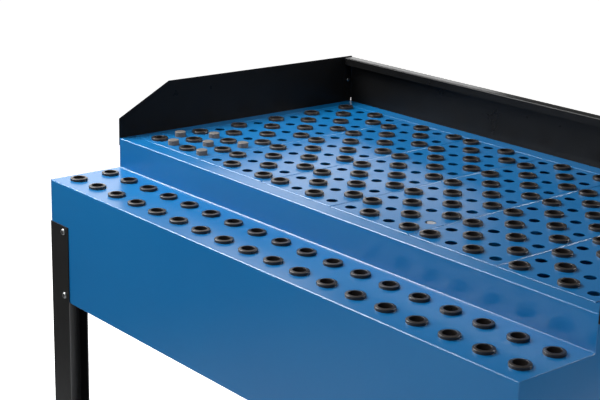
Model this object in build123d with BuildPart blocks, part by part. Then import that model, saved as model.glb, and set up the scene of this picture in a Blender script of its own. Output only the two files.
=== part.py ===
from build123d import *
import os

# Downdraft table: a stepped sheet-steel plenum on four folded legs, with lift-out deck panels
# Millimetres, +Z up, +X to the right, +Y to the back, origin on the floor below the table's middle

# Deck panels: folded trays laid side by side, each with a grid of holes
panel_count = 6
hole_columns = 4
hole_rows = 11
column_pitch = 59.0
row_pitch = 63.0
panel_sheet = 1.5
panel_bend = 2.0
panel_skirt = 20.0
panel_gap = 1.0
plain_hole = 25.0
turned_panels = (2, 4)

# Rubber rings: they clip into every second deck hole and into two rows of holes in the ledge
ring_outer = 42.0
ring_bore = 28.5
ring_stand = 6.0
ring_crown = 1.0
ring_hole = 35.0
ring_lip = 3.5
ring_lip_overhang = 2.0
ring_round = 1.2
ring_mouth_round = 0.6
ring_slack = 0.2
ledge_rings_across = 18
ledge_ring_end_inset = 44.5
ledge_ring_front_inset = 53.0
ledge_ring_rear_inset = 57.0

# Stop pins: round heads that stand on the first panel, with a shank in a plain hole
pin_spots = ((2, 1), (4, 1), (1, 2), (3, 2), (2, 3), (4, 3))
pin_head = 27.0
pin_stand = 12.0
pin_reach = 18.0
pin_slack = 0.3
pin_chamfer = 1.0

# Body: folded sheet with an apron, a ledge, a riser and a rim around the panels
deck_height = 875.0
riser_height = 75.0
apron_height = 300.0
ledge_depth = 200.0
front_rim = 42.0
rear_rim = 46.0
side_rim = 38.5
body_sheet = 2.0
body_bend = 3.0
bottom_return = 25.0
edge_round = 1.2

# Bearers: inverted channels under the panel seams
bearer_width = 30.0
bearer_depth = 30.0
bearer_sheet = 2.0
bearer_bend = 3.0

# Bottom pan: a flat sheet screwed to the shells' bottom returns
pan_sheet = 2.0
pan_slack = 0.5
pan_screws_across = 6
pan_screw_inset = 14.0
pan_screw_end_inset = 150.0
pan_screw_size = 5.0
pan_screw_head = 9.5
pan_screw_head_height = 2.8
pan_screw_socket = 3.0
pan_screw_length = 10.0

# Guards: upright sheets outside the deck's sides and back
guard_sheet = 2.0
guard_height = 127.0
side_guard_rise = 2.5
guard_front_height = 50.0
guard_slope_run = 152.0
guard_overlap = 20.0
guard_corner_round = 3.0
guard_top_flange = 30.0
guard_top_lip = 20.0
guard_end_flange = 27.0
guard_bend = 3.0
guard_end_bend = 1.5
guard_relief_width = 4.0
guard_relief_height = 9.0
guard_screws_deep = 4
guard_screws_across = 6
guard_screw_inset = 50.0
corner_screw_height = 62.0
guard_screw_size = 6.0
guard_screw_head = 12.0
guard_screw_head_height = 3.3
guard_screw_socket = 4.0
guard_screw_length = 12.0
guard_nut_width = 10.0
guard_nut_height = 5.0

# Legs: folded channels that wrap the body's corners
leg_sheet = 2.5
leg_inner_bend = 1.0
leg_face = 80.0
leg_side = 78.0
leg_lip = 40.0
leg_overlap = 195.0
leg_lip_drop = 3.0
leg_screw_edge = 19.0
leg_screw_top_inset = 14.0
leg_screw_low_inset = 17.0
leg_side_screw_inset = 45.0
leg_screw_size = 8.0
leg_screw_head = 16.0
leg_screw_head_height = 4.4
leg_screw_socket = 5.0
leg_screw_length = 16.0
leg_nut_width = 13.0
leg_nut_height = 6.5

# Levelling feet: a threaded stem through a welded plate and nut, standing in a round pad
pad_diameter = 50.0
pad_height = 14.0
pad_top_diameter = 30.0
pad_socket_depth = 8.5
pad_edge = 4.0
stem_size = 12.0
stem_length = 60.0
stem_tip = 8.0
stem_collar_width = 17.0
stem_collar = 6.0
stem_seat_gap = 0.3
stem_slack = 0.05
foot_plate = 5.0
foot_plate_round = 3.0
foot_plate_setback = 1.5
foot_nut_width = 19.0
foot_nut_height = 10.0
foot_hole_slack = 0.3

# Dust outlets: two round spigots on the back wall, each on a flange with a gasket
outlet_spacing = 750.0
outlet_diameter = 100.0
outlet_length = 60.0
outlet_sheet = 2.0
outlet_flange_width = 22.0
outlet_floor_gap = 6.0
outlet_screw_count = 4
outlet_screw_turn = 45.0
outlet_screw_size = 5.0
outlet_screw_head = 9.5
outlet_screw_head_height = 2.8
outlet_screw_socket = 3.0
outlet_screw_length = 14.0
outlet_nut_width = 8.0
outlet_nut_height = 4.0
gasket_thickness = 2.0

# Fastener fits
hole_slack = 0.3
nut_slack = 0.1
socket_share = 0.6
dome_share = 0.8
hexagon = 6

# Widths and depths that follow from the panels
panel_width = hole_columns * column_pitch
panel_depth = hole_rows * row_pitch
panel_step = panel_width + panel_gap
opening_width = panel_count * panel_step + panel_gap
opening_depth = panel_depth + 2 * panel_gap
table_width = opening_width + 2 * side_rim
half_width = table_width / 2
inner_width = table_width - 2 * body_sheet
body_depth = ledge_depth + front_rim + opening_depth + rear_rim

# Places front to back, with the whole table centred on the origin
front_reach = leg_sheet + leg_screw_head_height
rear_reach = gasket_thickness + outlet_length
apron_y = front_reach - (front_reach + body_depth + rear_reach) / 2
rear_y = apron_y + body_depth
middle_y = apron_y + body_depth / 2
riser_y = apron_y + ledge_depth
opening_front = riser_y + front_rim
opening_rear = opening_front + opening_depth
panel_y = opening_front + opening_depth / 2

# Heights
ledge_z = deck_height - riser_height
body_bottom = ledge_z - apron_height
bearer_top = deck_height - panel_skirt
pan_bottom = body_bottom + body_sheet
pan_top = pan_bottom + pan_sheet
guard_bottom = deck_height - guard_overlap
guard_top = deck_height + guard_height
side_guard_top = guard_top + side_guard_rise
leg_top = body_bottom + leg_overlap
stem_collar_bottom = pad_height + stem_seat_gap
leg_bottom = stem_collar_bottom + stem_collar + stem_seat_gap
outlet_flange = outlet_diameter + 2 * outlet_flange_width
outlet_z = pan_top + outlet_floor_gap + outlet_flange / 2

os.makedirs("parts", exist_ok=True)

mid_depth = Plane(origin=(0, middle_y, 0), z_dir=(0, 1, 0))


def spread(first, last, count):
    return [first + (last - first) * step / (count - 1) for step in range(count)]


def button_screw(size, head, head_height, socket, length):
    """A button-head screw along Z, with the underside of its head at the origin."""
    with BuildPart() as screw:
        with BuildSketch():
            Circle(head / 2)
        extrude(amount=head_height)
        fillet(screw.faces().sort_by(Axis.Z)[-1].edges(), radius=head_height * dome_share)
        with BuildSketch(Plane.XY.offset(head_height)):
            RegularPolygon(socket / 2, hexagon, major_radius=False)
        extrude(amount=-head_height * socket_share, mode=Mode.SUBTRACT)
        with BuildSketch():
            Circle(size / 2)
        extrude(amount=-length)
    return screw.part


def hex_nut(size, width, height):
    """A plain hexagon nut that stands on the origin and runs up along Z."""
    with BuildPart() as nut:
        with BuildSketch():
            RegularPolygon(width / 2, hexagon, major_radius=False)
            Circle(size / 2 + nut_slack, mode=Mode.SUBTRACT)
        extrude(amount=height)
    return nut.part


def rubber_ring(sheet):
    """A grommet on the origin: a crowned flange above the sheet, a neck in its hole, a lip below."""
    neck = ring_hole / 2 - ring_slack
    lip_top = -sheet - ring_slack
    lip_bottom = lip_top - ring_lip
    with BuildPart() as ring:
        with BuildSketch(Plane.XZ) as section:
            with BuildLine():
                Polyline(
                    (ring_bore / 2, lip_bottom),
                    (neck + ring_lip_overhang, lip_bottom),
                    (neck + ring_lip_overhang, lip_top),
                    (neck, lip_top),
                    (neck, 0),
                    (ring_outer / 2, 0),
                    (ring_outer / 2, ring_stand),
                    (ring_bore / 2, ring_stand + ring_crown),
                    close=True,
                )
            make_face()
            fillet(section.vertices().group_by(Axis.X)[-1].sort_by(Axis.Y)[-1], radius=ring_round)
            fillet(section.vertices().sort_by(Axis.Y)[-1], radius=ring_mouth_round)
            chamfer(section.vertices().group_by(Axis.Y)[0], length=ring_round)
        revolve(axis=Axis.Z)
    return ring.part


# Front shell: one folded sheet from the bottom return up the apron, over the ledge and up to the rim
ledge_ring_end = half_width - ledge_ring_end_inset
ledge_ring_xs = spread(-ledge_ring_end, ledge_ring_end, ledge_rings_across)
ledge_ring_ys = (apron_y + ledge_ring_front_inset, riser_y - ledge_ring_rear_inset)
ledge_ring_spots = [(x, y, ledge_z) for y in ledge_ring_ys for x in ledge_ring_xs]
leg_screw_x = half_width + leg_sheet - leg_face + leg_screw_edge
leg_screw_zs = (body_bottom + leg_screw_low_inset, leg_top - leg_screw_top_inset)
pan_screw_end = half_width - pan_screw_end_inset
pan_screw_xs = spread(-pan_screw_end, pan_screw_end, pan_screws_across)
pan_screw_ys = (apron_y + pan_screw_inset, rear_y - pan_screw_inset)

with BuildPart() as front_shell:
    with BuildSketch(Plane.YZ):
        with BuildLine():
            FilletPolyline(
                (apron_y + bottom_return, body_bottom),
                (apron_y, body_bottom),
                (apron_y, ledge_z),
                (riser_y, ledge_z),
                (riser_y, deck_height),
                (opening_front, deck_height),
                (opening_front, bearer_top),
                radius=body_bend,
            )
            offset(amount=body_sheet, side=Side.RIGHT)
        make_face()
    extrude(amount=inner_width / 2, both=True)
    with Locations(*ledge_ring_spots):
        Hole(ring_hole / 2, depth=2 * body_sheet)
    with Locations(*[Plane((x, apron_y, z), z_dir=(0, -1, 0)) for x in (-leg_screw_x, leg_screw_x)
                     for z in leg_screw_zs]):
        Hole(leg_screw_size / 2 + hole_slack, depth=2 * body_sheet)
    with Locations(*[(x, pan_screw_ys[0], body_bottom) for x in pan_screw_xs]):
        Hole(pan_screw_size / 2 + hole_slack, depth=2 * body_sheet)
front_shell.part.label = "front_shell"
export_step(front_shell.part, "parts/front_shell.step")

# Rear shell: the back wall with its bottom return, the deck's rear rim and two outlet holes
outlet_xs = (-outlet_spacing / 2, outlet_spacing / 2)
outlet_screw_circle = (outlet_diameter + outlet_flange_width) / 2
guard_screw_z = deck_height - guard_overlap / 2
guard_screw_end = half_width - guard_screw_inset
guard_screw_xs = spread(-guard_screw_end, guard_screw_end, guard_screws_across)
guard_screw_ys = spread(riser_y + front_rim / 2, rear_y - rear_rim / 2, guard_screws_deep)

with BuildPart() as rear_shell:
    with BuildSketch(Plane.YZ):
        with BuildLine():
            FilletPolyline(
                (rear_y - bottom_return, body_bottom),
                (rear_y, body_bottom),
                (rear_y, deck_height),
                (opening_rear, deck_height),
                (opening_rear, bearer_top),
                radius=body_bend,
            )
            offset(amount=body_sheet, side=Side.LEFT)
        make_face()
    extrude(amount=inner_width / 2, both=True)
    for outlet_x in outlet_xs:
        with Locations(Plane((outlet_x, rear_y, outlet_z), z_dir=(0, 1, 0))):
            Hole(outlet_diameter / 2, depth=2 * body_sheet)
            with PolarLocations(outlet_screw_circle, outlet_screw_count, start_angle=outlet_screw_turn):
                Hole(outlet_screw_size / 2 + hole_slack, depth=2 * body_sheet)
    with Locations(*[Plane((x, rear_y, z), z_dir=(0, 1, 0)) for x in (-leg_screw_x, leg_screw_x)
                     for z in leg_screw_zs]):
        Hole(leg_screw_size / 2 + hole_slack, depth=2 * body_sheet)
    with Locations(*[Plane((x, rear_y, guard_screw_z), z_dir=(0, 1, 0)) for x in guard_screw_xs]):
        Hole(guard_screw_size / 2 + hole_slack, depth=2 * body_sheet)
    with Locations(*[(x, pan_screw_ys[1], body_bottom) for x in pan_screw_xs]):
        Hole(pan_screw_size / 2 + hole_slack, depth=2 * body_sheet)
rear_shell.part.label = "rear_shell"
export_step(rear_shell.part, "parts/rear_shell.step")

# Side panels: stepped plates between the shells, each folded over into the deck's side rim
leg_side_screw_ys = (apron_y + leg_side_screw_inset, rear_y - leg_side_screw_inset)

with BuildPart() as left_side_panel:
    with BuildSketch(Plane.YZ.offset(-half_width)):
        with BuildLine():
            Polyline(
                (apron_y, body_bottom),
                (apron_y, ledge_z),
                (riser_y, ledge_z),
                (riser_y, deck_height),
                (rear_y, deck_height),
                (rear_y, body_bottom),
                close=True,
            )
        make_face()
    extrude(amount=body_sheet)
    fillet(left_side_panel.faces().sort_by(Axis.X)[0].edges(), radius=edge_round)
    with BuildSketch(Plane.XZ.offset(-opening_front)):
        with BuildLine():
            FilletPolyline(
                (body_sheet - half_width, deck_height),
                (side_rim - half_width, deck_height),
                (side_rim - half_width, bearer_top),
                radius=body_bend,
            )
            offset(amount=body_sheet, side=Side.RIGHT)
        make_face()
    extrude(amount=-opening_depth)
    with Locations(*[Plane((-half_width, y, z), z_dir=(-1, 0, 0)) for y in leg_side_screw_ys
                     for z in leg_screw_zs]):
        Hole(leg_screw_size / 2 + hole_slack, depth=2 * body_sheet)
    with Locations(*[Plane((-half_width, y, guard_screw_z), z_dir=(-1, 0, 0)) for y in guard_screw_ys]):
        Hole(guard_screw_size / 2 + hole_slack, depth=2 * body_sheet)
left_side_panel.part.label = "left_side_panel"
export_step(left_side_panel.part, "parts/left_side_panel.step")

with BuildPart() as right_side_panel:
    mirror(left_side_panel.part, about=Plane.YZ)
right_side_panel.part.label = "right_side_panel"
export_step(right_side_panel.part, "parts/right_side_panel.step")

# Bottom pan: closes the plenum and lies on the bottom returns
with BuildPart() as bottom_pan:
    with BuildSketch(Plane.XY.offset(pan_bottom)):
        with Locations((0, middle_y)):
            Rectangle(inner_width - 2 * pan_slack, body_depth - 2 * (body_bend + pan_slack))
    extrude(amount=pan_sheet)
    with Locations(*[(x, y, pan_bottom) for x in pan_screw_xs for y in pan_screw_ys]):
        Hole(pan_screw_size / 2 + hole_slack, depth=2 * pan_sheet)
bottom_pan.part.label = "bottom_pan"
export_step(bottom_pan.part, "parts/bottom_pan.step")

# Bearers: inverted channels from the riser to the back wall, one under each seam and each side rim
for bearer in range(panel_count + 1):
    seam_x = (bearer - panel_count / 2) * panel_step
    with BuildPart() as deck_bearer:
        with BuildSketch(Plane.XZ.offset(-riser_y - body_sheet)):
            with BuildLine():
                FilletPolyline(
                    (seam_x - bearer_width / 2, bearer_top - bearer_depth),
                    (seam_x - bearer_width / 2, bearer_top),
                    (seam_x + bearer_width / 2, bearer_top),
                    (seam_x + bearer_width / 2, bearer_top - bearer_depth),
                    radius=bearer_bend,
                )
                offset(amount=bearer_sheet, side=Side.RIGHT)
            make_face()
        extrude(amount=riser_y + 2 * body_sheet - rear_y)
    deck_bearer.part.label = f"deck_bearer_{bearer + 1}"
    export_step(deck_bearer.part, f"parts/deck_bearer_{bearer + 1}.step")

# Deck panels: trays with a chequered grid of ring holes and plain holes; some lie turned end for end
for number in range(1, panel_count + 1):
    panel_x = (number - (panel_count + 1) / 2) * panel_step
    turn = 1 if number in turned_panels else 0
    grid = [(column, row) for row in range(1, hole_rows + 1) for column in range(1, hole_columns + 1)]
    spots = {(column, row): (panel_x + (column - (hole_columns + 1) / 2) * column_pitch,
                             panel_y + (row - (hole_rows + 1) / 2) * row_pitch,
                             deck_height) for column, row in grid}
    ring_spots = [spots[column, row] for column, row in grid if (column + row + turn) % 2 == 0]
    plain_spots = [spots[column, row] for column, row in grid if (column + row + turn) % 2 == 1]

    with BuildPart() as deck_panel:
        with BuildSketch(Plane.XY.offset(bearer_top)):
            with Locations((panel_x, panel_y)):
                Rectangle(panel_width, panel_depth)
        extrude(amount=panel_skirt)
        fillet(deck_panel.edges() - deck_panel.faces().sort_by(Axis.Z)[0].edges(), radius=panel_bend)
        offset(amount=-panel_sheet, openings=deck_panel.faces().sort_by(Axis.Z)[0])
        with Locations(*ring_spots):
            Hole(ring_hole / 2, depth=2 * panel_sheet)
        with Locations(*plain_spots):
            Hole(plain_hole / 2, depth=2 * panel_sheet)
    deck_panel.part.label = f"deck_panel_{number}"
    export_step(deck_panel.part, f"parts/deck_panel_{number}.step")

    deck_ring = rubber_ring(panel_sheet)
    with BuildPart() as panel_rings:
        with Locations(*ring_spots):
            add(deck_ring)
    panel_rings.part.label = f"panel_rings_{number}"
    export_step(panel_rings.part, f"parts/panel_rings_{number}.step")

    if number == 1:
        pin_places = [spots[spot] for spot in pin_spots]

# Ledge rings: the same grommets in the thicker sheet of the ledge
ledge_ring = rubber_ring(body_sheet)
with BuildPart() as ledge_rings:
    with Locations(*ledge_ring_spots):
        add(ledge_ring)
ledge_rings.part.label = "ledge_rings"
export_step(ledge_rings.part, "parts/ledge_rings.step")

# Stop pins: turned heads with a shank that drops into a plain hole
for number, (pin_x, pin_y, pin_z) in enumerate(pin_places, start=1):
    with BuildPart() as stop_pin:
        with BuildSketch(Plane.XY.offset(pin_z)):
            with Locations((pin_x, pin_y)):
                Circle(pin_head / 2)
        extrude(amount=pin_stand)
        with BuildSketch(Plane.XY.offset(pin_z)):
            with Locations((pin_x, pin_y)):
                Circle(plain_hole / 2 - pin_slack)
        extrude(amount=-pin_reach)
        chamfer(stop_pin.faces().sort_by(Axis.Z)[0].edges(), length=pin_chamfer)
        chamfer(stop_pin.faces().sort_by(Axis.Z)[-1].edges(), length=pin_chamfer)
    stop_pin.part.label = f"stop_pin_{number}"
    export_step(stop_pin.part, f"parts/stop_pin_{number}.step")

# Side guards: flat sheets with a sloping front corner, screwed outside the side panels
corner_screw_y = rear_y + guard_sheet - guard_end_flange / 2
corner_screw_z = deck_height + corner_screw_height

with BuildPart() as left_guard:
    with BuildSketch(Plane.YZ.offset(-half_width)) as left_guard_outline:
        with BuildLine():
            Polyline(
                (riser_y, guard_bottom),
                (riser_y, deck_height + guard_front_height),
                (riser_y + guard_slope_run, side_guard_top),
                (rear_y + guard_sheet, side_guard_top),
                (rear_y + guard_sheet, guard_bottom),
                close=True,
            )
        make_face()
        fillet(left_guard_outline.vertices(), radius=guard_corner_round)
    extrude(amount=-guard_sheet)
    with Locations(*[Plane((-half_width, y, guard_screw_z), z_dir=(-1, 0, 0)) for y in guard_screw_ys],
                   Plane((-half_width, corner_screw_y, corner_screw_z), z_dir=(-1, 0, 0))):
        Hole(guard_screw_size / 2 + hole_slack, depth=2 * guard_sheet)
left_guard.part.label = "left_guard"
export_step(left_guard.part, "parts/left_guard.step")

with BuildPart() as right_guard:
    mirror(left_guard.part, about=Plane.YZ)
right_guard.part.label = "right_guard"
export_step(right_guard.part, "parts/right_guard.step")

# Rear guard: its top is folded forward and down, its ends forward along the side guards
guard_back_y = rear_y + guard_sheet
end_flange_bottom = deck_height + guard_relief_height
end_flange_height = guard_top - guard_top_lip - end_flange_bottom

with BuildPart() as rear_guard:
    with BuildSketch(Plane.YZ):
        with BuildLine():
            FilletPolyline(
                (guard_back_y, guard_bottom),
                (guard_back_y, guard_top),
                (guard_back_y - guard_top_flange, guard_top),
                (guard_back_y - guard_top_flange, guard_top - guard_top_lip),
                radius=guard_bend,
            )
            offset(amount=guard_sheet, side=Side.LEFT)
        make_face()
    extrude(amount=half_width, both=True)
    with BuildSketch(Plane.XY.offset(end_flange_bottom)):
        with Locations((-half_width, guard_back_y)):
            Rectangle(guard_sheet, guard_end_flange, align=(Align.MIN, Align.MAX))
        with Locations((half_width, guard_back_y)):
            Rectangle(guard_sheet, guard_end_flange, align=(Align.MAX, Align.MAX))
    extrude(amount=end_flange_height)
    upright_edges = rear_guard.edges().filter_by(Axis.Z)
    end_folds = upright_edges.filter_by_position(Axis.Y, rear_y - guard_sheet / 2, rear_y + guard_sheet / 2)
    fillet(end_folds.sort_by(SortBy.LENGTH)[-2:], radius=guard_end_bend)
    with BuildSketch(Plane.XZ.offset(-rear_y)):
        with Locations((-half_width, deck_height)):
            Rectangle(guard_relief_width, guard_relief_height, align=(Align.MIN, Align.MIN))
        with Locations((half_width, deck_height)):
            Rectangle(guard_relief_width, guard_relief_height, align=(Align.MAX, Align.MIN))
    extrude(amount=-guard_sheet, mode=Mode.SUBTRACT)
    with Locations(*[Plane((x, rear_y, guard_screw_z), z_dir=(0, 1, 0)) for x in guard_screw_xs]):
        Hole(guard_screw_size / 2 + hole_slack, depth=2 * guard_sheet)
    with Locations(*[Plane((x, corner_screw_y, corner_screw_z), z_dir=(1, 0, 0))
                     for x in (-half_width, half_width)]):
        Hole(guard_screw_size / 2 + hole_slack, depth=2 * guard_sheet)
rear_guard.part.label = "rear_guard"
export_step(rear_guard.part, "parts/rear_guard.step")

# Guard fasteners: screws from outside along the overlaps, and one from inside at each rear corner
guard_screw = button_screw(guard_screw_size, guard_screw_head, guard_screw_head_height,
                           guard_screw_socket, guard_screw_length)
guard_nut = hex_nut(guard_screw_size, guard_nut_width, guard_nut_height)
guard_outside = half_width + guard_sheet
guard_nut_face = half_width - body_sheet

with BuildPart() as guard_screws:
    with Locations(*[Plane((side * guard_outside, y, guard_screw_z), z_dir=(side, 0, 0))
                     for side in (-1, 1) for y in guard_screw_ys]):
        add(guard_screw)
    with Locations(*[Plane((x, guard_back_y, guard_screw_z), z_dir=(0, 1, 0)) for x in guard_screw_xs]):
        add(guard_screw)
    with Locations(*[Plane((side * (half_width - guard_sheet), corner_screw_y, corner_screw_z),
                           z_dir=(-side, 0, 0)) for side in (-1, 1)]):
        add(guard_screw)
guard_screws.part.label = "guard_screws"
export_step(guard_screws.part, "parts/guard_screws.step")

with BuildPart() as guard_nuts:
    with Locations(*[Plane((side * guard_nut_face, y, guard_screw_z), z_dir=(-side, 0, 0))
                     for side in (-1, 1) for y in guard_screw_ys]):
        add(guard_nut)
    with Locations(*[Plane((x, rear_y - body_sheet, guard_screw_z), z_dir=(0, -1, 0))
                     for x in guard_screw_xs]):
        add(guard_nut)
    with Locations(*[Plane((side * guard_outside, corner_screw_y, corner_screw_z), z_dir=(side, 0, 0))
                     for side in (-1, 1)]):
        add(guard_nut)
guard_nuts.part.label = "guard_nuts"
export_step(guard_nuts.part, "parts/guard_nuts.step")

# Legs: an angle beside the body, a channel with a lip below it
leg_outside = half_width + leg_sheet
leg_face_y = apron_y - leg_sheet
leg_lip_top = body_bottom - leg_lip_drop
leg_outline = [
    (leg_face - leg_outside, leg_face_y),
    (-leg_outside, leg_face_y),
    (-leg_outside, leg_face_y + leg_side),
    (leg_lip - leg_outside, leg_face_y + leg_side),
]

with BuildPart() as front_left_leg:
    with BuildSketch(Plane.XY.offset(leg_bottom)):
        with BuildLine():
            FilletPolyline(*leg_outline, radius=leg_sheet + leg_inner_bend)
            offset(amount=leg_sheet, side=Side.RIGHT)
        make_face()
    extrude(amount=leg_lip_top - leg_bottom)
    with BuildSketch(Plane.XY.offset(leg_lip_top)):
        with BuildLine():
            FilletPolyline(*leg_outline[:3], radius=leg_sheet + leg_inner_bend)
            offset(amount=leg_sheet, side=Side.RIGHT)
        make_face()
    extrude(amount=leg_top - leg_lip_top)
    with Locations(*[Plane((-leg_screw_x, leg_face_y, z), z_dir=(0, -1, 0)) for z in leg_screw_zs],
                   *[Plane((-leg_outside, leg_side_screw_ys[0], z), z_dir=(-1, 0, 0)) for z in leg_screw_zs]):
        Hole(leg_screw_size / 2 + hole_slack, depth=2 * leg_sheet)
front_left_leg.part.label = "front_left_leg"
export_step(front_left_leg.part, "parts/front_left_leg.step")

with BuildPart() as front_right_leg:
    mirror(front_left_leg.part, about=Plane.YZ)
front_right_leg.part.label = "front_right_leg"
export_step(front_right_leg.part, "parts/front_right_leg.step")

with BuildPart() as rear_left_leg:
    mirror(front_left_leg.part, about=mid_depth)
rear_left_leg.part.label = "rear_left_leg"
export_step(rear_left_leg.part, "parts/rear_left_leg.step")

with BuildPart() as rear_right_leg:
    mirror(front_right_leg.part, about=mid_depth)
rear_right_leg.part.label = "rear_right_leg"
export_step(rear_right_leg.part, "parts/rear_right_leg.step")

# Leg fasteners: screws through the legs' faces and sides, with nuts inside the body
leg_screw = button_screw(leg_screw_size, leg_screw_head, leg_screw_head_height,
                         leg_screw_socket, leg_screw_length)
leg_nut = hex_nut(leg_screw_size, leg_nut_width, leg_nut_height)

with BuildPart() as leg_screws:
    for face_y, way in ((leg_face_y, -1), (rear_y + leg_sheet, 1)):
        with Locations(*[Plane((x, face_y, z), z_dir=(0, way, 0)) for x in (-leg_screw_x, leg_screw_x)
                         for z in leg_screw_zs]):
            add(leg_screw)
    for side in (-1, 1):
        with Locations(*[Plane((side * leg_outside, y, z), z_dir=(side, 0, 0)) for y in leg_side_screw_ys
                         for z in leg_screw_zs]):
            add(leg_screw)
leg_screws.part.label = "leg_screws"
export_step(leg_screws.part, "parts/leg_screws.step")

with BuildPart() as leg_nuts:
    for face_y, way in ((apron_y + body_sheet, 1), (rear_y - body_sheet, -1)):
        with Locations(*[Plane((x, face_y, z), z_dir=(0, way, 0)) for x in (-leg_screw_x, leg_screw_x)
                         for z in leg_screw_zs]):
            add(leg_nut)
    for side in (-1, 1):
        with Locations(*[Plane((side * (half_width - body_sheet), y, z), z_dir=(-side, 0, 0))
                         for y in leg_side_screw_ys for z in leg_screw_zs]):
            add(leg_nut)
leg_nuts.part.label = "leg_nuts"
export_step(leg_nuts.part, "parts/leg_nuts.step")

# Pan fasteners: short screws up through the returns into the pan
pan_screw = button_screw(pan_screw_size, pan_screw_head, pan_screw_head_height,
                         pan_screw_socket, pan_screw_length)
with BuildPart() as pan_screws:
    with Locations(*[Plane((x, y, body_bottom), z_dir=(0, 0, -1))
                     for x in pan_screw_xs for y in pan_screw_ys]):
        add(pan_screw)
pan_screws.part.label = "pan_screws"
export_step(pan_screws.part, "parts/pan_screws.step")

# Foot plates and nuts: welded inside the lower end of each leg
plate_width = leg_face - leg_sheet - foot_plate_setback
plate_depth = leg_side - 2 * leg_sheet
foot_x = half_width - plate_width / 2
foot_ys = (apron_y + plate_depth / 2, rear_y - plate_depth / 2)
foot_spots = {"front_left": (-foot_x, foot_ys[0]), "front_right": (foot_x, foot_ys[0]),
              "rear_left": (-foot_x, foot_ys[1]), "rear_right": (foot_x, foot_ys[1])}

with BuildPart() as foot_plates:
    with BuildSketch(Plane.XY.offset(leg_bottom)):
        with Locations(*foot_spots.values()):
            RectangleRounded(plate_width, plate_depth, foot_plate_round)
            Circle(stem_size / 2 + foot_hole_slack, mode=Mode.SUBTRACT)
    extrude(amount=foot_plate)
foot_plates.part.label = "foot_plates"
export_step(foot_plates.part, "parts/foot_plates.step")

with BuildPart() as foot_nuts:
    with BuildSketch(Plane.XY.offset(leg_bottom + foot_plate)):
        with Locations(*foot_spots.values()):
            RegularPolygon(foot_nut_width / 2, hexagon, major_radius=False)
            Circle(stem_size / 2 + stem_slack, mode=Mode.SUBTRACT)
    extrude(amount=foot_nut_height)
foot_nuts.part.label = "foot_nuts"
export_step(foot_nuts.part, "parts/foot_nuts.step")

# Levelling feet: the pad carries a stem, which turns in it and screws up through the nut
socket_floor = pad_height - pad_socket_depth
for corner, (foot_x_here, foot_y_here) in foot_spots.items():
    with BuildPart() as foot_pad:
        with BuildSketch():
            with Locations((foot_x_here, foot_y_here)):
                Circle(pad_diameter / 2)
        extrude(amount=pad_edge)
        with BuildSketch(Plane.XY.offset(pad_edge)):
            with Locations((foot_x_here, foot_y_here)):
                Circle(pad_diameter / 2)
        with BuildSketch(Plane.XY.offset(pad_height)):
            with Locations((foot_x_here, foot_y_here)):
                Circle(pad_top_diameter / 2)
        loft()
        with Locations((foot_x_here, foot_y_here, pad_height)):
            Hole(stem_tip / 2 + stem_slack, depth=pad_socket_depth)
    foot_pad.part.label = f"{corner}_foot_pad"
    export_step(foot_pad.part, f"parts/{corner}_foot_pad.step")

    with BuildPart() as foot_stem:
        with BuildSketch(Plane.XY.offset(socket_floor + stem_seat_gap)):
            with Locations((foot_x_here, foot_y_here)):
                Circle(stem_tip / 2)
        extrude(amount=stem_collar_bottom - socket_floor - stem_seat_gap)
        with BuildSketch(Plane.XY.offset(stem_collar_bottom)):
            with Locations((foot_x_here, foot_y_here)):
                RegularPolygon(stem_collar_width / 2, hexagon, major_radius=False)
        extrude(amount=stem_collar)
        with BuildSketch(Plane.XY.offset(stem_collar_bottom + stem_collar)):
            with Locations((foot_x_here, foot_y_here)):
                Circle(stem_size / 2)
        extrude(amount=stem_length)
    foot_stem.part.label = f"{corner}_foot_stem"
    export_step(foot_stem.part, f"parts/{corner}_foot_stem.step")

# Dust outlets: a gasket, a flanged spigot and its screws and nuts, twice
spigot_y = rear_y + gasket_thickness
with BuildPart() as outlet_gaskets:
    with BuildSketch(Plane((0, rear_y, outlet_z), x_dir=(1, 0, 0), z_dir=(0, 1, 0))):
        with Locations(*[(x, 0) for x in outlet_xs]):
            Circle(outlet_flange / 2)
            Circle(outlet_diameter / 2, mode=Mode.SUBTRACT)
            with PolarLocations(outlet_screw_circle, outlet_screw_count, start_angle=outlet_screw_turn):
                Circle(outlet_screw_size / 2 + hole_slack, mode=Mode.SUBTRACT)
    extrude(amount=gasket_thickness)
outlet_gaskets.part.label = "outlet_gaskets"
export_step(outlet_gaskets.part, "parts/outlet_gaskets.step")

for side_name, outlet_x in zip(("left", "right"), outlet_xs):
    with BuildPart() as outlet_spigot:
        spigot_plane = Plane((outlet_x, spigot_y, outlet_z), x_dir=(1, 0, 0), z_dir=(0, 1, 0))
        with BuildSketch(spigot_plane):
            Circle(outlet_flange / 2)
            Circle(outlet_diameter / 2 - outlet_sheet, mode=Mode.SUBTRACT)
            with PolarLocations(outlet_screw_circle, outlet_screw_count, start_angle=outlet_screw_turn):
                Circle(outlet_screw_size / 2 + hole_slack, mode=Mode.SUBTRACT)
        extrude(amount=outlet_sheet)
        with BuildSketch(spigot_plane):
            Circle(outlet_diameter / 2)
            Circle(outlet_diameter / 2 - outlet_sheet, mode=Mode.SUBTRACT)
        extrude(amount=outlet_length)
    outlet_spigot.part.label = f"{side_name}_outlet_spigot"
    export_step(outlet_spigot.part, f"parts/{side_name}_outlet_spigot.step")

outlet_screw = button_screw(outlet_screw_size, outlet_screw_head, outlet_screw_head_height,
                            outlet_screw_socket, outlet_screw_length)
outlet_nut = hex_nut(outlet_screw_size, outlet_nut_width, outlet_nut_height)
with BuildPart() as outlet_screws:
    with Locations(*[Plane((x, spigot_y + outlet_sheet, outlet_z), z_dir=(0, 1, 0)) for x in outlet_xs]):
        with PolarLocations(outlet_screw_circle, outlet_screw_count, start_angle=outlet_screw_turn):
            add(outlet_screw)
outlet_screws.part.label = "outlet_screws"
export_step(outlet_screws.part, "parts/outlet_screws.step")

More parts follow.
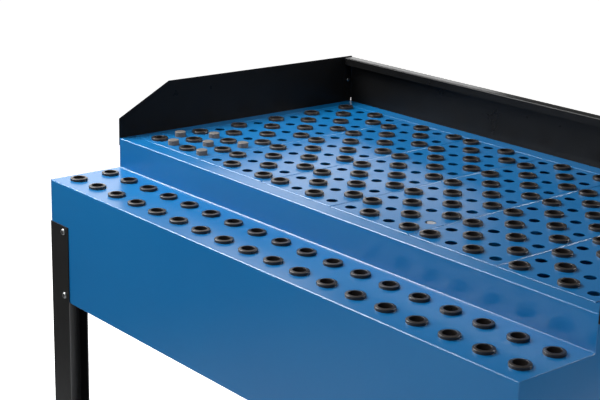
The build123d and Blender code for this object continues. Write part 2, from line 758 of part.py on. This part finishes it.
with BuildPart() as outlet_nuts:
    with Locations(*[Plane((x, rear_y - body_sheet, outlet_z), z_dir=(0, -1, 0)) for x in outlet_xs]):
        with PolarLocations(outlet_screw_circle, outlet_screw_count, start_angle=outlet_screw_turn):
            add(outlet_nut)
outlet_nuts.part.label = "outlet_nuts"
export_step(outlet_nuts.part, "parts/outlet_nuts.step")
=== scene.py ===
import math

import bmesh
import bpy
from mathutils import Matrix, Vector


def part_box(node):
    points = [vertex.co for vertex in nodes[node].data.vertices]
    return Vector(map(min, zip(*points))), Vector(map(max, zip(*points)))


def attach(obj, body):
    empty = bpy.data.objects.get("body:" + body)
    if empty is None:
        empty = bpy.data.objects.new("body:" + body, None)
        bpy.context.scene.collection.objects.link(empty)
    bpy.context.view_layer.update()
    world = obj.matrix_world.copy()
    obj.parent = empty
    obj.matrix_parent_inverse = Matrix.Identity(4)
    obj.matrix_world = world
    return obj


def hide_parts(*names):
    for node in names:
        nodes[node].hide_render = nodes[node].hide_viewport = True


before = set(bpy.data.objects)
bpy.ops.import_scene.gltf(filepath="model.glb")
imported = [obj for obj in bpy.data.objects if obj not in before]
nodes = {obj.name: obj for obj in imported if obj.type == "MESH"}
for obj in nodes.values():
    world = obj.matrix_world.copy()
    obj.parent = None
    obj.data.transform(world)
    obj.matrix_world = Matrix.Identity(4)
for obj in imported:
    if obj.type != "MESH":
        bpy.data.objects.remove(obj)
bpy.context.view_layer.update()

# Camera: it stands at the front right, above the deck, and looks down along the table to the rear
# left corner. The long lens keeps the rows of rings nearly parallel, and all of the table is sharp.
camera_place = (2.1147, -2.1888, 1.7398)
camera_turn = (73.341, -1.539, 49.644)
camera_sensor = 36.0
camera_lens = 83.5
scene = bpy.context.scene
camera = bpy.data.objects.new("camera", bpy.data.cameras.new("camera"))
camera.data.sensor_width = camera_sensor
camera.data.lens = camera_lens
camera.location = camera_place
camera.rotation_euler = [math.radians(turn) for turn in camera_turn]
scene.collection.objects.link(camera)
scene.camera = camera
scene.view_settings.view_transform = "Standard"

# Body and deck: folded and welded sheet steel, 2 mm in the shells, 1.5 mm in the lift-out panels, all
# sprayed with the same blue polyester powder and baked. The coat is smooth, satin to glossy, with a
# faint orange peel, and it rounds every cut edge a little.
blue_sheets = ["front_shell", "rear_shell", "left_side_panel", "right_side_panel", "bottom_pan"]
blue_sheets += [name for name in nodes if name.startswith(("deck_bearer_", "deck_panel_"))]
blue_paint = "1171AE"
blue_paint_thick = "0E69A6"
mm = 0.001


def linear(colour):
    """An sRGB hex colour as the linear values that a shader takes."""
    shares = [int(colour[place:place + 2], 16) / 255 for place in (0, 2, 4)]
    return [s / 12.92 if s <= 0.04045 else ((s + 0.055) / 1.055) ** 2.4 for s in shares] + [1.0]


def per_metre(size_mm):
    """The scale of a pattern whose grain is this many millimetres wide."""
    return 1 / (size_mm * mm)


def add_node(tree, kind, inputs=(), **options):
    """Adds a node, sets its options, and sets or links its inputs."""
    node = tree.nodes.new(kind)
    for option, value in options.items():
        setattr(node, option, value)
    for socket, value in dict(inputs).items():
        if isinstance(value, bpy.types.NodeSocket):
            tree.links.new(value, node.inputs[socket])
        else:
            node.inputs[socket].default_value = value
    return node


def start_finish(name, **shader_values):
    """A new material, with its node tree, its shader and the object's own coordinates."""
    finish = bpy.data.materials.new(name)
    finish.use_nodes = True
    tree = finish.node_tree
    shader = tree.nodes["Principled BSDF"]
    for socket, value in shader_values.items():
        shader.inputs[socket.replace("_", " ")].default_value = value
    return finish, tree, shader, add_node(tree, "ShaderNodeTexCoord").outputs["Object"]


def dress(finish, names):
    """Gives CAD nodes their finish."""
    for name in names:
        nodes[name].data.materials[0] = finish


# Powder coat, polyester: the film flows out smooth in the oven, so lights show as soft patches, and
# its thickness changes the shade a little from place to place. Pattern sizes are in millimetres.
coat_patch = 420.0
coat_patch_detail = 2.0
coat_cloud = 60.0
cloud_detail = 3.0
cloud_span = (0.3, 0.7)
coat_gloss = (0.23, 0.27)
coat_peel = 5.0
coat_peel_detail = 1.0
coat_peel_height = 0.012
blue_coat, tree, shader, place = start_finish("blue_powder_coat_gloss", IOR=1.5)
patches = add_node(tree, "ShaderNodeTexNoise", {
    "Vector": place, "Scale": per_metre(coat_patch), "Detail": coat_patch_detail})
shade = add_node(tree, "ShaderNodeMixRGB", {
    "Fac": patches.outputs["Fac"], "Color1": linear(blue_paint), "Color2": linear(blue_paint_thick)})
clouds = add_node(tree, "ShaderNodeTexNoise", {
    "Vector": place, "Scale": per_metre(coat_cloud), "Detail": cloud_detail})
gloss = add_node(tree, "ShaderNodeMapRange", {
    "Value": clouds.outputs["Fac"], "From Min": cloud_span[0], "From Max": cloud_span[1],
    "To Min": coat_gloss[0], "To Max": coat_gloss[1]})
peel = add_node(tree, "ShaderNodeTexNoise", {
    "Vector": place, "Scale": per_metre(coat_peel), "Detail": coat_peel_detail})
relief = add_node(tree, "ShaderNodeBump", {
    "Height": peel.outputs["Fac"], "Distance": coat_peel_height * mm})
tree.links.new(shade.outputs["Color"], shader.inputs["Base Color"])
tree.links.new(gloss.outputs["Result"], shader.inputs["Roughness"])
tree.links.new(relief.outputs["Normal"], shader.inputs["Normal"])
dress(blue_coat, blue_sheets)

# Rings: moulded black rubber grommets, pressed into every second hole of the deck and along the ledge.
# The work slides on their crowned tops, and sparks and dust fall through their bores.
rings = ["ledge_rings"] + [name for name in nodes if name.startswith("panel_rings_")]
grain_detail = 2.0


def grained_finish(name, colours, cloud, roughness, grain, grain_height, **shader_values):
    """A finish whose shade and gloss drift in soft clouds, over a raised grain. Sizes are in millimetres.

    The real grains are finer, and are drawn as coarse as they need to show.
    """
    finish, tree, shader, place = start_finish(name, **shader_values)
    clouds = add_node(tree, "ShaderNodeTexNoise", {
        "Vector": place, "Scale": per_metre(cloud), "Detail": cloud_detail})
    shade = add_node(tree, "ShaderNodeMixRGB", {
        "Fac": clouds.outputs["Fac"], "Color1": linear(colours[0]), "Color2": linear(colours[1])})
    gloss = add_node(tree, "ShaderNodeMapRange", {
        "Value": clouds.outputs["Fac"], "From Min": cloud_span[0], "From Max": cloud_span[1],
        "To Min": roughness[0], "To Max": roughness[1]})
    bumps = add_node(tree, "ShaderNodeTexNoise", {
        "Vector": place, "Scale": per_metre(grain), "Detail": grain_detail})
    relief = add_node(tree, "ShaderNodeBump", {
        "Height": bumps.outputs["Fac"], "Distance": grain_height * mm})
    tree.links.new(shade.outputs["Color"], shader.inputs["Base Color"])
    tree.links.new(gloss.outputs["Result"], shader.inputs["Roughness"])
    tree.links.new(relief.outputs["Normal"], shader.inputs["Normal"])
    return finish


# Moulded rubber: dark and slightly brown, with a satin gloss and a greyer bloom in places.
black_rubber = grained_finish("moulded_black_rubber", ("221F1E", "302B29"), cloud=9.0,
                              roughness=(0.27, 0.36), grain=1.2, grain_height=0.02, IOR=1.5)
dress(black_rubber, rings + ["outlet_gaskets"])

# Stop pins: turned from grey nylon rod, dropped loose into plain holes of the left panel, where they
# stop a workpiece. Turning leaves them evenly matte, and use wears them a little lighter in places.
pins = [name for name in nodes if name.startswith("stop_pin_")]
grey_nylon = grained_finish("turned_grey_nylon", ("5C5854", "6A6561"), cloud=6.0,
                            roughness=(0.5, 0.62), grain=0.8, grain_height=0.02, IOR=1.53)
dress(grey_nylon, pins)

# Guards and legs: 2 and 2.5 mm sheet steel, cut and folded, black powder coated and screwed to the body.
# The legs are channels with a welded plate for the foot. The guards' coat is satin, dull from the front
# and bright at a low angle, and the legs' is coarser.
guards = ["left_guard", "right_guard", "rear_guard"]
legs = ["foot_plates"] + [name for name in nodes if name.endswith("_leg")]
black_paint = ("101010", "141414")
black_grain = 1.6
black_grain_height = 0.02
satin_coat = grained_finish("black_powder_coat_satin", black_paint, cloud=coat_cloud, roughness=(0.27, 0.32),
                            grain=black_grain, grain_height=black_grain_height, IOR=1.25)
coarse_coat = grained_finish("black_powder_coat_coarse", black_paint, cloud=coat_cloud, roughness=(0.44, 0.5),
                             grain=black_grain, grain_height=black_grain_height, IOR=1.3)
dress(satin_coat, guards)
dress(coarse_coat, legs)

# Screws and nuts: cold-headed steel, zinc plated and passivated. The plating is bright but a little
# cloudy, and it dulls to grey on the flanks.
fixings = [name for name in nodes if name.endswith(("_screws", "_nuts"))]
zinc_bright = "9A9B9A"
zinc_dull = "7D7F80"
zinc_cloud = 3.0
zinc_cloud_detail = 4.0
zinc_gloss = (0.26, 0.42)
zinc_plate, tree, shader, place = start_finish("zinc_plated_steel", Metallic=1.0)
clouds = add_node(tree, "ShaderNodeTexNoise", {
    "Vector": place, "Scale": per_metre(zinc_cloud), "Detail": zinc_cloud_detail})
shade = add_node(tree, "ShaderNodeMixRGB", {
    "Fac": clouds.outputs["Fac"], "Color1": linear(zinc_bright), "Color2": linear(zinc_dull)})
gloss = add_node(tree, "ShaderNodeMapRange", {
    "Value": clouds.outputs["Fac"], "From Min": cloud_span[0], "From Max": cloud_span[1],
    "To Min": zinc_gloss[0], "To Max": zinc_gloss[1]})
tree.links.new(shade.outputs["Color"], shader.inputs["Base Color"])
tree.links.new(gloss.outputs["Result"], shader.inputs["Roughness"])
dress(zinc_plate, fixings)

# Foot stems: M12 studs of zinc plated steel with a hexagon collar. The collar is where a spanner turns
# the stud in the welded nut above, and its plain tip turns in the pad.
feet = ["front_left", "front_right", "rear_left", "rear_right"]
thread_pitch = 1.75 * mm
thread_radius = 6.0 * mm
thread_depth_share = 0.6134
thread_root = thread_radius - thread_depth_share * thread_pitch
thread_crest = (0.44, 0.56)
thread_steps = 24
thread_spare_turns = 2
thread_lead = 1.2 * mm
thread_merge = thread_pitch / 1000
collar_floor = 14.3 * mm
collar_height = 6.0 * mm
collar_middle = collar_floor + collar_height / 2
collar_width = 17.0 * mm
collar_sides = 6
collar_radius = collar_width / math.sqrt(3)
collar_chamfer = 0.8 * mm
collar_chamfer_steps = 2
tip_radius = 4.0 * mm
tip_sides = 32
round_edge = 35.0


def add_shape(name, shape, finish, body):
    """Turns a finished bmesh into a piece that rides on a body."""
    bmesh.ops.recalc_face_normals(shape, faces=shape.faces)
    piece = bpy.data.objects.new(name, bpy.data.meshes.new(name))
    for face in shape.faces:
        face.smooth = True
    shape.to_mesh(piece.data)
    shape.free()
    piece.data.set_sharp_from_angle(angle=math.radians(round_edge))
    piece.data.materials.append(finish)
    scene.collection.objects.link(piece)
    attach(piece, body)
    return piece


def cut_thread(shape, bottom, top):
    """Spins one V of thread up a helix, trims it between two heights and tapers its last turn."""
    turns = math.ceil((top - bottom) / thread_pitch) + thread_spare_turns
    profile = [(thread_root, 0.0), (thread_radius, thread_crest[0]), (thread_radius, thread_crest[1]),
               (thread_root, 1.0)]
    points = [shape.verts.new((radius, 0.0, bottom + (rise - 1) * thread_pitch)) for radius, rise in profile]
    lines = [shape.edges.new(pair) for pair in zip(points, points[1:])]
    bmesh.ops.spin(shape, geom=points + lines, axis=(0, 0, 1), cent=(0, 0, 0), angle=math.tau * turns,
                   dvec=(0, 0, thread_pitch / thread_steps), steps=turns * thread_steps, use_merge=False)
    bmesh.ops.remove_doubles(shape, verts=shape.verts, dist=thread_merge)
    for height, side in ((bottom, -1), (top, 1)):
        everything = shape.verts[:] + shape.edges[:] + shape.faces[:]
        bmesh.ops.bisect_plane(shape, geom=everything, plane_co=(0, 0, height), plane_no=(0, 0, side),
                               clear_outer=True)
        bmesh.ops.holes_fill(shape, edges=[edge for edge in shape.edges if edge.is_boundary and
                                           abs(edge.verts[0].co.z - height) < thread_merge])
    for point in shape.verts:
        reach = math.hypot(point.co.x, point.co.y)
        limit = thread_root + max(0.0, top - point.co.z) * (thread_radius - thread_root) / thread_lead
        if reach > limit:
            point.co.x *= limit / reach
            point.co.y *= limit / reach


low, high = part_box("front_left_foot_stem")
stem = bmesh.new()
cut_thread(stem, collar_middle, high.z)
collar = bmesh.ops.create_cone(stem, cap_ends=True, segments=collar_sides, depth=collar_height,
                               radius1=collar_radius, radius2=collar_radius,
                               matrix=Matrix.Translation((0, 0, collar_middle)))
collar_edges = {edge for point in collar["verts"] for edge in point.link_edges}
bmesh.ops.bevel(stem, geom=list(collar_edges), offset=collar_chamfer, offset_type="OFFSET", affect="EDGES",
                segments=collar_chamfer_steps, profile=0.5, material=-1)
bmesh.ops.create_cone(stem, cap_ends=True, segments=tip_sides, depth=collar_floor - low.z,
                      radius1=tip_radius, radius2=tip_radius,
                      matrix=Matrix.Translation((0, 0, (collar_floor + low.z) / 2)))
for foot in feet:
    low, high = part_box(f"{foot}_foot_stem")
    middle = (low + high) / 2
    placed = stem.copy()
    bmesh.ops.translate(placed, verts=placed.verts, vec=(middle.x, middle.y, 0))
    stud = add_shape(f"{foot}_threaded_stem", placed, zinc_plate, f"{foot}_stem")
    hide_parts(f"{foot}_foot_stem")
stem.free()

# Foot pads: injection-moulded black polyamide discs that swivel under the stems. The mould was spark
# eroded, so they are evenly matte.
pads = [name for name in nodes if name.endswith("_foot_pad")]
black_polyamide = grained_finish("moulded_black_polyamide", ("161616", "1E1E1E"), cloud=12.0,
                                 roughness=(0.52, 0.58), grain=0.9, grain_height=0.03, IOR=1.53)
dress(black_polyamide, pads)

# Outlet spigots: flanged tubes of hot-dip galvanised sheet, screwed to the back over rubber gaskets. The
# zinc freezes in crystals a centimetre across, some brighter than others.
spigots = ["left_outlet_spigot", "right_outlet_spigot"]
spangle_bright = "B4B8BB"
spangle_dull = "8E9397"
spangle_size = 11.0
spangle_gloss = (0.28, 0.48)
galvanised, tree, shader, place = start_finish("hot_dip_galvanised_sheet", Metallic=1.0)
crystals = add_node(tree, "ShaderNodeTexVoronoi", {"Vector": place, "Scale": per_metre(spangle_size)})
crystal = add_node(tree, "ShaderNodeSeparateColor", {"Color": crystals.outputs["Color"]})
shade = add_node(tree, "ShaderNodeMixRGB", {
    "Fac": crystal.outputs["Red"], "Color1": linear(spangle_bright), "Color2": linear(spangle_dull)})
gloss = add_node(tree, "ShaderNodeMapRange", {
    "Value": crystal.outputs["Green"], "To Min": spangle_gloss[0], "To Max": spangle_gloss[1]})
tree.links.new(shade.outputs["Color"], shader.inputs["Base Color"])
tree.links.new(gloss.outputs["Result"], shader.inputs["Roughness"])
dress(galvanised, spigots)

# Floor: a plain white studio floor, lit from within like a light table, so that it stays white up to
# the far end and the shadow under the table stays pale.
floor_half = 40.0
floor_white = "E8E8E8"
floor_glow = 0.85
lamp_white = "FFFFFF"
floor_mesh = bmesh.new()
bmesh.ops.create_grid(floor_mesh, x_segments=1, y_segments=1, size=floor_half)
floor = bpy.data.objects.new("floor", bpy.data.meshes.new("floor"))
floor_mesh.to_mesh(floor.data)
floor_mesh.free()
scene.collection.objects.link(floor)
floor_finish, tree, shader, place = start_finish("white_floor", Roughness=0.9, Specular_IOR_Level=0.0)
shader.inputs["Base Color"].default_value = linear(floor_white)
shader.inputs["Emission Color"].default_value = linear(lamp_white)
shader.inputs["Emission Strength"].default_value = floor_glow
floor.data.materials.append(floor_finish)

# Softboxes: lamps behind white cloth, on stands. One hangs high at the left, over the deck and the ledge,
# and a wide one stands before the table and lights the apron and the riser.
table_top = 0.85


def aim(light, target):
    """Turns a light so that it shines at a point."""
    light.rotation_euler = (Vector(target) - light.location).to_track_quat("-Z", "Y").to_euler()


def add_panel_light(name, where, target, size, radiance, gloss_only=False, matte_only=False,
                    spread=180.0):
    """A rectangular light of even brightness, not seen by the camera itself."""
    lamp = bpy.data.lights.new(name, "AREA")
    lamp.shape = "RECTANGLE"
    lamp.size, lamp.size_y = size
    lamp.energy = radiance * math.pi * lamp.size * lamp.size_y
    lamp.spread = math.radians(spread)
    light = bpy.data.objects.new(name, lamp)
    light.location = where
    aim(light, target)
    light.visible_camera = False
    light.visible_diffuse = not gloss_only
    light.visible_glossy = not matte_only
    scene.collection.objects.link(light)


add_panel_light("left_softbox", where=(-1.5, -0.7, 2.45), target=(-0.4, -0.1, table_top),
                size=(1.2, 1.0), radiance=17.0)
add_panel_light("front_softbox", where=(-0.3, -2.9, 2.45), target=(0.0, -0.3, table_top),
                size=(3.2, 1.4), radiance=2.4)

# Light panels: flat light boxes round the table. A long low one behind the rear left corner lies in the
# deck's gloss, with a dimmer one above it. One stands behind the right for the guards' gloss, and one lies
# on the floor for the inside of the legs.
add_panel_light("rear_left_panel", where=(-2.31, 1.17, 1.25), target=(-1.567, 0.501, 1.25),
                size=(2.25, 0.7), radiance=2.2)
add_panel_light("upper_left_panel", where=(-2.53, 0.92, 2.3), target=(-1.787, 0.251, 2.3),
                size=(1.58, 1.4), radiance=1.0, gloss_only=True)
add_panel_light("rear_right_panel", where=(2.4, 2.2, 1.3), target=(-0.7, 0.0, 0.95),
                size=(2.2, 0.9), radiance=1.0)
add_panel_light("floor_panel", where=(0.15, 0.05, 0.02), target=(0.15, 0.05, 1.0),
                size=(1.2, 0.8), radiance=6.0, gloss_only=True)

# Guard fill: a small lamp at the right, in a deep grid that narrows its beam to the left guard and the
# rim beside it, which the guard would else keep in the dark.
add_panel_light("guard_fill", where=(1.2, -0.1, 1.9), target=(-0.75, 0.1, 0.93),
                size=(0.5, 0.5), radiance=0.6, matte_only=True, spread=24.0)

# Light strips: narrow light boxes high at the left and behind the table. They show in gloss alone, and
# draw the bright lines along the folds and the seams between the panels.
add_panel_light("fold_strip", where=(-2.4, -1.8, 2.5), target=(-0.5, -0.5, table_top),
                size=(3.2, 0.4), radiance=32.0, gloss_only=True)
add_panel_light("seam_strip", where=(1.3, 2.8, 2.8), target=(0.0, 2.8, table_top),
                size=(1.5, 0.5), radiance=60.0, gloss_only=True)

# Ceiling and walls: a white studio room. The ceiling gives a dim light from above with soft edges, and the
# walls a dim light from all sides. The camera sees plain white past the floor's far edge.
ceiling_place = (0.0, -1.0, 4.0)
ceiling_angle = 80.0
ceiling_strength = 0.3
wall_light = 0.12
wall_seen = 1.0
top_lamp = bpy.data.lights.new("top_light", "SUN")
top_lamp.angle = math.radians(ceiling_angle)
top_lamp.energy = ceiling_strength
top_light = bpy.data.objects.new("top_light", top_lamp)
top_light.location = ceiling_place
aim(top_light, (0.0, 0.0, table_top))
scene.collection.objects.link(top_light)
world = bpy.data.worlds.new("studio")
world.use_nodes = True
walls = world.node_tree.nodes["Background"]
walls.inputs["Color"].default_value = linear(lamp_white)
eye = add_node(world.node_tree, "ShaderNodeLightPath")
glow = add_node(world.node_tree, "ShaderNodeMapRange", {
    "Value": eye.outputs["Is Camera Ray"], "To Min": wall_light, "To Max": wall_seen})
world.node_tree.links.new(glow.outputs["Result"], walls.inputs["Strength"])
scene.world = world

# Dark cloths: studio felt on the floor before the table and to its right, not seen by the camera itself.
# They keep the white floor out of the apron's and the right side's gloss, and the front one is paler to
# the right.
cloth_lift = 2 * mm
cloth_dark = "484848"
cloth_pale = "BEBEBE"
cloth_fade = (-1.45, -0.75)


def lay_cloth(name, corners, colours):
    """A cloth between two corners on the floor, which changes colour from left to right."""
    (left, front), (right, back) = corners
    cloth_mesh = bmesh.new()
    spots = ((left, front), (right, front), (right, back), (left, back))
    cloth_mesh.faces.new([cloth_mesh.verts.new((*spot, cloth_lift)) for spot in spots])
    cloth = bpy.data.objects.new(name, bpy.data.meshes.new(name))
    cloth_mesh.to_mesh(cloth.data)
    cloth_mesh.free()
    felt, tree, shader, place = start_finish(name, Roughness=1.0, Specular_IOR_Level=0.0)
    across = add_node(tree, "ShaderNodeSeparateXYZ", {"Vector": place})
    fade = add_node(tree, "ShaderNodeMapRange", {
        "Value": across.outputs["X"], "From Min": cloth_fade[0], "From Max": cloth_fade[1]})
    shade = add_node(tree, "ShaderNodeMixRGB", {
        "Fac": fade.outputs["Result"], "Color1": linear(colours[0]), "Color2": linear(colours[1])})
    tree.links.new(shade.outputs["Color"], shader.inputs["Base Color"])
    cloth.data.materials.append(felt)
    cloth.visible_camera = False
    cloth.visible_shadow = False
    scene.collection.objects.link(cloth)


lay_cloth("front_cloth", corners=((-5.0, -4.0), (2.0, -0.62)), colours=(cloth_dark, cloth_pale))
lay_cloth("right_cloth", corners=((1.6, 0.0), (5.5, 4.0)), colours=(cloth_dark, cloth_dark))
